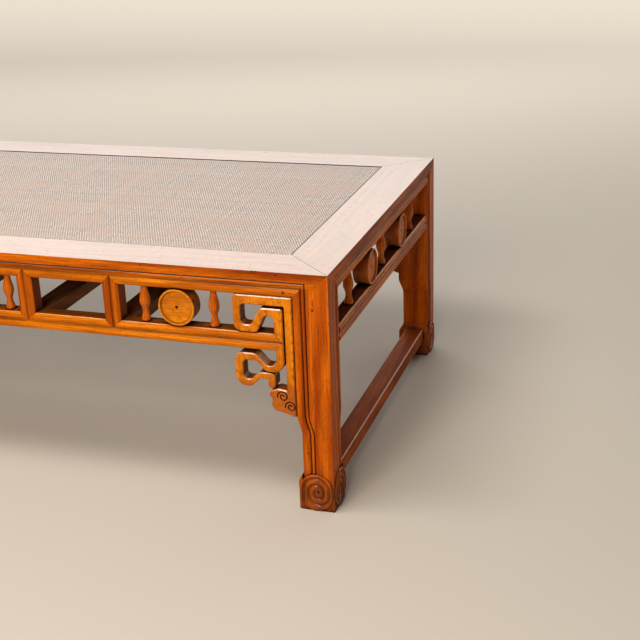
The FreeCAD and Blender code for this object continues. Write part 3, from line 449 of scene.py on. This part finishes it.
    def wood(self, graph: Graph, surface: Surface) -> bpy.types.NodeSocket:
        """Mixes the colour of the fresh wood from its figure, fibres and pores.

        Args:
            graph: graph of the material.
            surface: surface of the piece.

        Returns:
            The colour.
        """
        colour = graph.blend(surface.grain["Figure"], self.pale, self.deep)
        colour = graph.darken(colour, graph.ramp(surface.grain["Fibre"], 0.3, 0.7, self.streaks, 1.2))
        return graph.blend(graph.math("MULTIPLY", surface.grain["Pores"], 0.7), colour, self.darkest)

    @property
    def darkest(self) -> Triple:
        """Colour of pores and dents."""
        return tuple(0.22 * part for part in self.deep)

    def aged(
        self, graph: Graph, surface: Surface, colour: bpy.types.NodeSocket, ledge: bpy.types.NodeSocket,
    ) -> bpy.types.NodeSocket:
        """Colour changed by painted light, grime and joints: a painted glare on faces that look up, painted shade
        at the sides and on ledges, partly grime there, and dark lines in the mitres.

        Args:
            graph: graph of the material.
            surface: surface of the piece.
            colour: colour of the fresh wood.
            ledge: how far a point is a dark ledge, in painted shade and partly grime.

        Returns:
            The changed colour.
        """
        # Faces that look away from the broad faces are darkened: painted shade.
        if self.face_axis is not None:
            facing = graph.math("ABSOLUTE", surface.normal[self.face_axis])
            colour = graph.blend(graph.ramp(facing, 0.15, 0.6, self.painted_side_shade, 0.0), colour, Tint.EDGE.value)
        # Faces that look up are paled: a painted glare.
        colour = graph.blend(graph.math("MULTIPLY", surface.upward, self.painted_glare), colour, Tint.GLARE_PALE.value)
        colour = graph.blend(ledge, colour, Tint.LEDGE.value)
        if self.shade_below is not None:
            height = graph.axes(surface.place)[2]
            low = graph.ramp(height, self.shade_below, self.shade_below + 20 * MM, 0.7, 0.0)
            colour = graph.blend(low, colour, Tint.SHADED.value)
        if self.mitre is not None:
            beside = graph.axes(graph.vector("ABSOLUTE", surface.place))
            away = graph.math("SUBTRACT", graph.math("SUBTRACT", beside[0], beside[1]), self.mitre)
            closing = graph.ramp(graph.math("ABSOLUTE", away), 0.5 * MM, 1.7 * MM, 0.75, 0.0)
            colour = graph.blend(graph.math("MULTIPLY", closing, surface.upward), colour, Tint.MITRE.value)
        return colour

    def worn(self, graph: Graph, surface: Surface, colour: bpy.types.NodeSocket) -> bpy.types.NodeSocket:
        """Colour changed by use and by a painted highlight: rubbed and paled arrises, partly wear and partly a
        painted highlight on upward slants, mottling, dents, single marks, and a darkening near the floor.

        Args:
            graph: graph of the material.
            surface: surface of the piece.
            colour: colour of the aged wood.

        Returns:
            The changed colour.
        """
        wear = surface.wear
        rubbed = tuple(min(1.0, 1.3 * part + 0.03) for part in self.pale)
        colour = graph.blend(wear["Rubbed"], colour, rubbed)
        # Arrises are paled: partly wear, partly a painted highlight.
        colour = graph.blend(graph.math("MULTIPLY", surface.arris, self.bare_and_highlight), colour, Tint.BARE_AND_HIGHLIGHT.value)
        colour = graph.blend(graph.math("MULTIPLY", wear["Mottle"], self.mottle), colour, self.deep)
        colour = graph.blend(graph.math("MAXIMUM", wear["Dents"], wear["Marks"]), colour, self.darkest)
        return graph.blend(wear["Near Floor"], colour, Tint.NEAR_FLOOR_DARK.value)

    def joint_and_shade_mask(self, graph: Graph) -> bpy.types.NodeSocket:
        """Mask of dark joint lines and painted shade, from ambient occlusion: a line in each joint and a wider
        painted shade in each corner.

        Args:
            graph: graph of the material.

        Returns:
            The mask.
        """
        near = graph.add("AmbientOcclusion", {"Distance": self.joint_reach}, samples=6).outputs["AO"]
        far = graph.add("AmbientOcclusion", {"Distance": self.shade_reach}, samples=6).outputs["AO"]
        seam = graph.add("Attribute", attribute_name="seam").outputs["Fac"]
        joint = graph.math("MAXIMUM", graph.ramp(near, 0.52, 0.97, 1.0, 0.0), seam)
        # Corners within reach are darkened: painted shade.
        hollow_shade = graph.math("MULTIPLY", graph.ramp(far, 0.30, 0.92, 1.0, 0.0), 0.85)
        return graph.math("MULTIPLY", graph.math("MAXIMUM", joint, hollow_shade), self.grime_and_shade)


class Neighbours:
    """Surfaces of all the nodes, to find where one piece meets another."""

    def __init__(self) -> None:
        """Gathers the faces of every node, and the node that each belongs to."""
        points, faces, self.owners = [], [], []
        for node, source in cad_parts.items():
            start = len(points)
            points += [vert.co.copy() for vert in source.data.vertices]
            faces += [[start + number for number in face.vertices] for face in source.data.polygons]
            self.owners += [node] * len(source.data.polygons)
        self.tree = BVHTree.FromPolygons(points, faces)

    def touches(self, node: str, place: Vector, reach: float) -> bool:
        """Tells whether a piece other than the node lies within reach of a place."""
        return any(self.owners[found[2]] != node for found in self.tree.find_nearest_range(place, reach))


@dataclass(frozen=True)
class Easing:
    """Softening of the arrises that the plane left sharp.

    Attributes:
        width: width of the rounding on each side of an arris, in metres.
        least_turn: angle between two faces from which their arris is rounded.
        least_length: length in metres from which an arris is rounded.
        flat: turn up to which neighbouring triangles are one face.
        segments: facets across the rounding.
        meeting: how near another piece lies where an arris closes on it, in widths.
    """

    width: float = 0.9 * MM
    least_turn: float = math.radians(34)
    least_length: float = 3 * MM
    flat: float = math.radians(0.4)
    segments: int = 2
    meeting: float = 1.1

    def apply(self, shape: bmesh.types.BMesh, node: str, neighbours: Neighbours) -> None:
        """Joins a node's loose triangles into faces and rounds its convex arrises.

        Args:
            shape: the node's mesh, which gets the face layers arris and seam.
            node: name of the node.
            neighbours: all the pieces, which tell where an arris closes on another piece.
        """
        bmesh.ops.remove_doubles(shape, verts=shape.verts, dist=0.01 * MM)
        bmesh.ops.dissolve_limit(
            shape, angle_limit=self.flat, verts=shape.verts, edges=shape.edges,
            use_dissolve_boundaries=False, delimit=set(),
        )
        shape.faces.layers.float.new("arris")
        shape.faces.layers.float.new("seam")
        sharp = [
            edge for edge in shape.edges
            if edge.is_manifold and edge.is_convex
            and edge.calc_face_angle(0.0) > self.least_turn and edge.calc_length() > self.least_length
        ]
        made = bmesh.ops.bevel(
            shape, geom=sharp, offset=self.width, offset_type="OFFSET", affect="EDGES",
            segments=self.segments, profile=0.5, material=-1, clamp_overlap=True,
        )
        arris, seam = shape.faces.layers.float["arris"], shape.faces.layers.float["seam"]
        for face in made["faces"]:
            closed = neighbours.touches(node, face.calc_center_median(), self.meeting * self.width)
            face[seam if closed else arris] = 1.0


class Joiner:
    """Dresses the wooden pieces: easing, timber and grain of every node of the frame."""

    def __init__(self, groups: dict[str, bpy.types.NodeTree]) -> None:
        """Gathers the surfaces of all the pieces and starts an empty store of timbers.

        Args:
            groups: shared node groups by name.
        """
        self.groups = groups
        self.neighbours = Neighbours()
        self.timbers: dict[str, bpy.types.Material] = {}

    def timber(self, kind: str, grain: Grain) -> bpy.types.Material:
        """Material of a kind of timber with its fibres one way, made when first asked for.

        Args:
            kind: kind of timber, a key of TIMBERS.
            grain: way of the fibres.

        Returns:
            The material.
        """
        name = f"{kind}_{grain.name.lower()}"
        if name not in self.timbers:
            broad = 0 if grain is Grain.DEPTH else 1
            recipe = Timber(name, grain, face_axis=broad, **TIMBERS[kind])
            self.timbers[name] = recipe.material(self.groups)
        return self.timbers[name]

    def dress(self, node: str) -> bpy.types.Object:
        """Makes the eased, finished copy of a node that stands for it.

        Args:
            node: name of the node.

        Returns:
            The copy.
        """
        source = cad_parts[node]
        mesh = bpy.data.meshes.new(node + "_wood")
        shape = bmesh.new()
        shape.from_mesh(source.data)
        easing = TOP_EASING if node.startswith("top_rail") else FINE_EASING
        easing.apply(shape, node, self.neighbours)
        bmesh.ops.triangulate(shape, faces=[face for face in shape.faces if len(face.verts) > 4])
        shape.to_mesh(mesh)
        shape.free()
        mesh.shade_smooth()
        mesh.set_sharp_from_angle(angle=WOOD_SHARP)
        kind, grain = finish_of(node)
        mesh.materials.clear()
        mesh.materials.append(self.timber(kind, grain))
        piece = bpy.data.objects.new(node + "_wood", mesh)
        bpy.context.scene.collection.objects.link(piece)
        flat = piece.modifiers.new("flat_faces", "WEIGHTED_NORMAL")
        flat.mode = "FACE_AREA"
        flat.weight = 100
        flat.keep_sharp = True
        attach(piece, ROOT)
        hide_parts(node)
        return piece


FINE_EASING = Easing()
TOP_EASING = Easing(1.6 * MM)
TOP_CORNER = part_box("top_rail_front")[0]
TIMBERS = {
    "top": {
        # The top's faces that look up are paled: a painted glare.
        "pale": (0.86, 0.190, 0.002), "deep": (0.25, 0.032, 0.001), "gloss": 0.36, "polish": 0.42, "painted_glare": 0.76,
        "swirl": 0.5, "mitre": abs(TOP_CORNER[0]) - abs(TOP_CORNER[1]),
    },
    "carved": {
        "pale": (0.80, 0.168, 0.002), "deep": (0.31, 0.041, 0.001), "polish": 0.4, "streaks": 0.7, "mottle": 0.3,
    },
    "divider": {"pale": (0.68, 0.145, 0.002), "deep": (0.30, 0.042, 0.001), "polish": 0.3, "painted_side_shade": 0.65},
    "fret": {
        "pale": (0.94, 0.270, 0.004), "deep": (0.44, 0.085, 0.002), "polish": 0.32, "burnish": 0.35,
        "ledge_shade_amount": 0.85,
    },
    "pierced": {
        "pale": (0.90, 0.280, 0.008), "deep": (0.36, 0.075, 0.003), "gloss": 0.26, "polish": 0.7, "streaks": 0.85,
        "figure_size": 0.5, "swirl": 0.3, "mottle": 0.95, "burnish": 0.8, "painted_side_shade": 0.85, "slant_highlight": 0.8,
        "bare_and_highlight": 0.22, "shade_below": 0.248,
    },
    "drum": {
        "pale": (0.90, 0.310, 0.006), "deep": (0.44, 0.096, 0.002), "gloss": 0.28, "swirl": 0.4, "wax": 0.1,
        "streaks": 0.75, "mottle": 0.8, "painted_side_shade": 0.75, "bare_and_highlight": 0.45,
    },
    "end_drum": {
        "pale": (0.92, 0.250, 0.040), "deep": (0.46, 0.095, 0.014), "gloss": 0.28, "swirl": 0.4, "wax": 0.1,
        "mottle": 0.4, "painted_side_shade": 0.6, "bare_and_highlight": 0.3,
    },
    "baluster": {
        "pale": (0.78, 0.175, 0.002), "deep": (0.36, 0.052, 0.001), "gloss": 0.2, "swirl": 0.2, "wax": 0.25,
    },
    "stretcher": {
        "pale": (0.74, 0.155, 0.002), "deep": (0.32, 0.048, 0.001), "gloss": 0.45, "wax": 0.0, "bare_and_highlight": 0.75,
        "slant_highlight": 1.0,
    },
    # Pieces under the top get a darker, duller copy of the wood: painted shade.
    "hidden": {"pale": (0.26, 0.100, 0.038), "deep": (0.080, 0.034, 0.015), "gloss": 0.6, "wax": 0.0},
}


def finish_of(node: str) -> tuple[str, Grain]:
    """Finds the timber of a node and the way of its grain, from its name.

    Args:
        node: name of the node.

    Returns:
        The kind of timber and the way of the grain.
    """
    # Pieces under the top take the darker copy of the wood: painted shade.
    if node.startswith(("panel_board", "cross_stretcher", "panel_batten")):
        return "hidden", Grain.LENGTH if "board" in node else Grain.DEPTH
    if node.startswith("low_stretcher"):
        return "stretcher", Grain.DEPTH
    if node.startswith("leg"):
        return "carved", Grain.HEIGHT
    if node.startswith(("divider", "spandrel")):
        return "divider" if node.startswith("divider") else "pierced", Grain.HEIGHT
    if node.startswith("balusters"):
        return "baluster", Grain.HEIGHT
    if node.startswith("drum"):
        return ("end_drum", Grain.DEPTH) if "end" in node else ("drum", Grain.LENGTH)
    kind = "top" if node.startswith("top_rail") else "fret"
    across = node.endswith(("left", "right"))
    return kind, Grain.DEPTH if across else Grain.LENGTH


@dataclass(frozen=True)
class WovenMat:
    """Split rattan woven in a fine twill and glued to the panel.

    Attributes:
        warp: width of a strip that runs from front to back, in metres.
        weft: width of a strip that runs along the table, in metres.
        swell: height of the sheet's gentle waves, in metres.
        cell: size of the sheet's squares, in metres.
        rim_shadow_width: width of the dark line round the mat, a painted shadow where the mat sits below the
            frame, in metres.
        waver: how far the strips stray from straight lines, in metres.
        dark: colour between the strips.
        pale: colour of the strips.
        reddened: colour of worn patches.
        stained: colour of stains.
        rim_shadow: colour of the line round the mat, a painted shadow.
    """

    warp: float = 1.35 * MM
    weft: float = 2.7 * MM
    swell: float = 0.25 * MM
    cell: float = 9 * MM
    rim_shadow_width: float = 4.5 * MM
    waver: float = 3.2 * MM
    dark: Triple = (0.085, 0.055, 0.035)
    pale: Triple = (0.80, 0.61, 0.47)
    reddened: Triple = (0.50, 0.29, 0.20)
    stained: Triple = (0.20, 0.16, 0.12)
    rim_shadow: Triple = (0.030, 0.017, 0.010)

    def build(self) -> bpy.types.Object:
        """Makes the mat in place of its node.

        Returns:
            The mat.
        """
        piece = bpy.data.objects.new("woven_mat_cane", self.sheet())
        bpy.context.scene.collection.objects.link(piece)
        piece.data.materials.append(self.material())
        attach(piece, ROOT)
        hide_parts("woven_mat")
        return piece

    @staticmethod
    def corners() -> tuple[Vector, Vector]:
        """Lowest and highest corner of the mat's node."""
        low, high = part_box("woven_mat")
        return Vector(low), Vector(high)

    def sheet(self) -> bpy.types.Mesh:
        """Makes the mat's mesh: a thin slab in squares, with a gentle unevenness on top.

        Returns:
            The mesh.
        """
        low, high = self.corners()
        shape = bmesh.new()
        bmesh.ops.create_cube(shape, size=1.0)
        span = high - low
        bmesh.ops.scale(shape, vec=span, verts=shape.verts)
        bmesh.ops.translate(shape, vec=(low + high) / 2, verts=shape.verts)
        for axis in range(2):
            way = Vector((1.0, 0.0, 0.0)) if axis == 0 else Vector((0.0, 1.0, 0.0))
            for number in range(1, int(span[axis] / self.cell)):
                place = low + way * number * self.cell
                geometry = shape.verts[:] + shape.edges[:] + shape.faces[:]
                bmesh.ops.bisect_plane(shape, geom=geometry, plane_co=place, plane_no=way)
        for vert in shape.verts:
            inside = min(vert.co.x - low.x, high.x - vert.co.x, vert.co.y - low.y, high.y - vert.co.y)
            if vert.co.z > high.z - self.swell and inside > self.cell / 2:
                vert.co.z += self.swell * self.wave(vert.co)
            elif vert.co.z > high.z - self.swell:
                vert.co.z -= self.swell
        mesh = bpy.data.meshes.new("woven_mat_cane")
        shape.to_mesh(mesh)
        shape.free()
        mesh.shade_smooth()
        mesh.set_sharp_from_angle(angle=MAT_SHARP)
        return mesh

    @staticmethod
    def wave(place: Vector) -> float:
        """Unevenness of the sheet at a place, from -1 to 1."""
        return math.sin(31.0 * place.x + 4.0 * math.sin(9.0 * place.y)) * math.sin(23.0 * place.y)

    def material(self) -> bpy.types.Material:
        """Builds the cane's material: a twill of narrow strips, each of its own shade, faded in patches.

        Returns:
            The material.
        """
        material = bpy.data.materials.new("woven_cane")
        material.use_nodes = True
        graph = Graph(material.node_tree)
        place = graph.add("TexCoord").outputs["Object"]
        parts = graph.axes(place)
        colour, height = self.twill(graph, place, parts)
        speck = graph.ramp(graph.noise(place, 330.0, 2.0, 0.7), 0.32, 0.68, 0.48, 1.42)
        colour = graph.darken(colour, speck)
        patches = graph.ramp(graph.noise(place, 14.0, 5.0, 0.65), 0.44, 0.62)
        colour = graph.blend(graph.math("MULTIPLY", patches, 0.5), colour, self.reddened)
        stains = graph.ramp(graph.noise(place, 41.0, 3.0, 0.6), 0.58, 0.74)
        colour = graph.blend(graph.math("MULTIPLY", stains, 0.3), colour, self.stained)
        # The mat's edge is darkened: a painted shadow of the frame.
        colour = graph.blend(self.rim_shadow_mask(graph, place, parts), colour, self.rim_shadow)
        bump = graph.add("Bump", {"Height": height, "Strength": 0.5, "Distance": 0.35 * MM}).outputs[0]
        shader = graph.add("BsdfPrincipled", {"Base Color": colour, "Normal": bump})
        shader.inputs["Roughness"].default_value = 0.5
        graph.add("OutputMaterial", {"Surface": shader.outputs[0]})
        return material

    def twill(
        self, graph: Graph, place: bpy.types.NodeSocket, parts: bpy.types.NodeOutputs,
    ) -> tuple[bpy.types.NodeSocket, bpy.types.NodeSocket]:
        """Draws the weave, two strips over and two under.

        Args:
            graph: graph of the material.
            place: place on the mat.
            parts: its parts along the axes.

        Returns:
            The strips' colour and their height for the relief.
        """
        drift = graph.math("MULTIPLY", graph.noise(place, 26.0, 3.0, 0.6), self.waver)
        across = graph.math("DIVIDE", graph.math("ADD", parts[0], drift), self.warp)
        along = graph.math("DIVIDE", graph.math("ADD", parts[1], drift), self.weft)
        column, row = graph.math("FLOOR", across), graph.math("FLOOR", along)
        step = graph.math("FLOORED_MODULO", graph.math("ADD", column, row), 4.0)
        over = graph.math("LESS_THAN", step, 1.5)
        side = graph.math("PINGPONG", graph.math("SUBTRACT", across, column), 0.5)
        end = graph.math("PINGPONG", graph.math("SUBTRACT", along, row), 0.5)
        crown_and_shading = graph.add("Mix", {0: over, 2: end, 3: side}, data_type="FLOAT").outputs[0]
        number = graph.add("Mix", {0: over, 2: row, 3: column}, data_type="FLOAT").outputs[0]
        shade = graph.add("TexWhiteNoise", {"W": number}, noise_dimensions="1D").outputs[0]
        tone = graph.math("MULTIPLY_ADD", over, 0.52, graph.math("MULTIPLY", shade, 0.30))
        # Each strip is paler along its middle than at its edges: painted shading of its roundness.
        tone = graph.math("ADD", tone, graph.math("MULTIPLY", crown_and_shading, 0.40), clamp=True)
        height = graph.math("ADD", crown_and_shading, graph.math("MULTIPLY", over, 0.3))
        return graph.blend(tone, self.dark, self.pale), height

    def rim_shadow_mask(
        self, graph: Graph, place: bpy.types.NodeSocket, parts: bpy.types.NodeOutputs,
    ) -> bpy.types.NodeSocket:
        """Mask of the frayed dark line along the mat's edge, a painted shadow of the frame.

        Args:
            graph: graph of the material.
            place: place on the mat.
            parts: its parts along the axes.

        Returns:
            The mask.
        """
        low, high = self.corners()
        inside = []
        for axis in range(2):
            middle = (low[axis] + high[axis]) / 2
            away = graph.math("ABSOLUTE", graph.math("SUBTRACT", parts[axis], middle))
            inside.append(graph.math("SUBTRACT", high[axis] - middle, away))
        nearest = graph.math("MINIMUM", *inside)
        frayed = graph.math("MULTIPLY_ADD", graph.noise(place, 210.0, 2.0), 0.9 * self.rim_shadow_width, nearest)
        return graph.ramp(frayed, 0.9 * self.rim_shadow_width, 1.5 * self.rim_shadow_width, 0.92, 0.0)


@dataclass(frozen=True)
class Softbox:
    """A large soft lamp that points at a place, with its size in metres and its power in watts."""

    name: str
    place: Triple
    target: Triple
    width: float
    height: float
    power: float
    colour: Triple = (1.0, 1.0, 1.0)

    def hang(self) -> None:
        """Adds the lamp."""
        lamp = bpy.data.lights.new(self.name, "AREA")
        lamp.shape = "RECTANGLE"
        lamp.size = self.width
        lamp.size_y = self.height
        lamp.energy = self.power
        lamp.color = self.colour
        holder = bpy.data.objects.new(self.name, lamp)
        holder.location = self.place
        way = Vector(self.target) - Vector(self.place)
        holder.rotation_euler = way.to_track_quat("-Z", "Y").to_euler()
        holder.visible_camera = False
        bpy.context.scene.collection.objects.link(holder)


@dataclass(frozen=True)
class Studio:
    """Plain pale floor, soft lamps and the camera.

    Attributes:
        camera_place: place of the camera.
        camera_turn: turn of the camera about X, Y and Z.
        lens: focal length in millimetres.
        sensor: width of the camera's sensor in millimetres.
        shift: shift of the lens, in widths of the picture.
        sight: distance that the camera sees to, in metres.
        floor_size: side of the floor in metres.
        floor_colour: colour of the floor, linear.
        air_colour: colour of the light from all sides, linear.
        air_strength: strength of that light.
    """

    camera_place: Triple = (1.3659, -2.3827, 1.2082)
    camera_turn: Triple = (1.1739, 0.0433, 0.3288)
    lens: float = 69.44
    sensor: float = 36.0
    shift: tuple[float, float] = (0.0478, 0.0426)
    sight: float = 120.0
    floor_size: float = 90.0
    floor_colour: Triple = (0.62, 0.54, 0.44)
    air_colour: Triple = (0.95, 0.97, 1.0)
    air_strength: float = 0.12

    def build(self) -> None:
        """Lays the floor, fills the air with light, and sets the lamps and the camera."""
        self.lay_floor()
        self.light_air()
        for lamp in LAMPS:
            lamp.hang()
        self.set_camera()

    def lay_floor(self) -> None:
        """Adds the floor, which isn't part of the table."""
        shape = bmesh.new()
        bmesh.ops.create_grid(shape, x_segments=1, y_segments=1, size=self.floor_size / 2)
        mesh = bpy.data.meshes.new("floor")
        shape.to_mesh(mesh)
        shape.free()
        material = bpy.data.materials.new("floor_paint")
        material.use_nodes = True
        graph = Graph(material.node_tree)
        shader = graph.add("BsdfPrincipled", {"Base Color": self.floor_colour, "Roughness": 0.8})
        graph.add("OutputMaterial", {"Surface": shader.outputs[0]})
        mesh.materials.append(material)
        floor = bpy.data.objects.new("floor", mesh)
        bpy.context.scene.collection.objects.link(floor)

    def light_air(self) -> None:
        """Gives the world its even pale light."""
        world = bpy.data.worlds.new("studio_air")
        world.use_nodes = True
        graph = Graph(world.node_tree)
        air = graph.add("Background", {"Color": self.air_colour, "Strength": self.air_strength})
        graph.add("OutputWorld", {"Surface": air.outputs[0]})
        bpy.context.scene.world = world

    def set_camera(self) -> None:
        """Adds the camera where the photograph was taken from."""
        view = bpy.data.cameras.new("camera")
        view.lens = self.lens
        view.sensor_width = self.sensor
        view.shift_x, view.shift_y = self.shift
        view.clip_end = self.sight
        camera = bpy.data.objects.new("camera", view)
        camera.location = self.camera_place
        camera.rotation_euler = Euler(self.camera_turn, "XYZ")
        bpy.context.scene.collection.objects.link(camera)
        bpy.context.scene.camera = camera


LAMPS = (
    Softbox("window_behind", (-1.9, 3.4, 2.05), (-1.2, 0.0, 0.48), 5.6, 1.6, 57.0),
    Softbox("key_front", (0.5, -3.2, 1.9), (0.4, -0.4, 0.25), 1.6, 1.2, 84.0, (1.0, 0.95, 0.88)),
    Softbox("overhead", (-0.3, -1.1, 2.7), (0.1, -0.3, 0.3), 1.7, 0.7, 44.0),
    Softbox("far_floor", (0.0, 11.0, 2.6), (0.0, 11.0, 0.0), 30.0, 15.0, 1900.0),
)


def main() -> None:
    """Builds the table's finishes and the studio, and reports each piece."""
    logging.basicConfig(level=logging.INFO, format="%(name)s: %(message)s")
    groups = {"grain": make_grain_group(), "wear": make_wear_group()}
    joiner = Joiner(groups)
    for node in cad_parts:
        if node != "woven_mat":
            piece = joiner.dress(node)
            LOG.info("%s: %d faces", piece.name, len(piece.data.polygons))
    mat = WovenMat().build()
    LOG.info("%s: %d faces", mat.name, len(mat.data.polygons))
    Studio().build()
    bpy.context.scene.view_settings.view_transform = "Standard"


if __name__ == "__main__":
    main()
